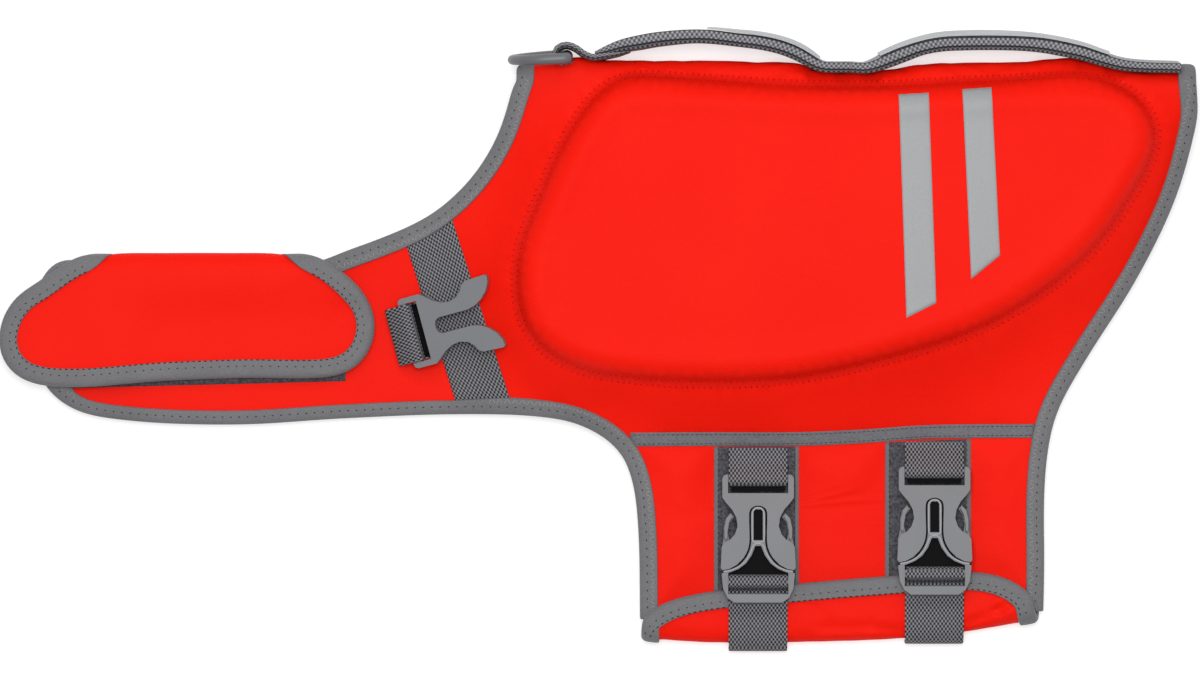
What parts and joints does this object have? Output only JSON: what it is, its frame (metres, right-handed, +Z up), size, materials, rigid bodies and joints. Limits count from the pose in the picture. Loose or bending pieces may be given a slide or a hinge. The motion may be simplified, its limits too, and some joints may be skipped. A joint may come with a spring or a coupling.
{
  "type": "dog life jacket",
  "caption": "Padded dog life jacket of bound neoprene, folded flat along its spine with its belly straps buckled, neck flap closed, spine handles and a leash ring.",
  "frame": {"origin": "centre of the footprint on the surface it lies on", "axes": "+X tail end, +Y spine fold, +Z up"},
  "size_m": [0.4989, 0.2604, 0.0332],
  "materials": {
    "neoprene": "smooth knit-faced neoprene, matt",
    "binding": "grosgrain ribbon, matt",
    "webbing": "woven polypropylene webbing",
    "loop_tape": "brushed loop tape",
    "reflective": "smooth pale coated tape",
    "plastic": "moulded acetal, fine matt"
  },
  "bodies": {
    "jacket": {"belly_binding": "binding", "belly_buckle_female_front": "plastic", "belly_buckle_female_rear": "plastic", "belly_buckle_male_front": "plastic", "belly_buckle_male_rear": "plastic", "belly_loop_tape_front": "loop_tape", "belly_loop_tape_rear": "loop_tape", "belly_lower_webbing_front": "webbing", "belly_lower_webbing_rear": "webbing", "belly_panel": "neoprene", "belly_upper_webbing_front": "webbing", "belly_upper_webbing_rear": "webbing", "d_ring_loop": "webbing", "far_leg_binding": "binding", "far_neck_binding": "binding", "far_rear_binding": "binding", "far_upper_panel": "neoprene", "flap_binding": "binding", "front_handle": "webbing", "front_handle_facing": "reflective", "near_front_binding": "binding", "near_lower_panel": "neoprene", "near_rear_binding": "binding", "near_side_seam_tape": "binding", "near_upper_panel": "neoprene", "neck_flap": "neoprene", "neck_loop_tape": "loop_tape", "rear_handle": "webbing", "rear_handle_facing": "reflective", "reflective_strip_front": "reflective", "reflective_strip_rear": "reflective", "shoulder_buckle_loop": "webbing", "shoulder_webbing": "webbing"},
    "d_ring": {"d_ring": "plastic"},
    "shoulder_buckle": {"shoulder_buckle": "plastic"}
  },
  "joints": [
    {"name": "d_ring_hinge", "type": "hinge", "parent": "jacket", "child": "d_ring", "pos_m": [-0.0136, 0.1182, 0.0158], "axis": [0, 0.0698, -0.9976], "range_deg": [0, 120]},
    {"name": "shoulder_buckle_hinge", "type": "hinge", "parent": "jacket", "child": "shoulder_buckle", "pos_m": [-0.07876, 0.00317, 0.0124], "axis": [0.2588, -0.9659, 0], "range_deg": [0, 135]}
  ]
}
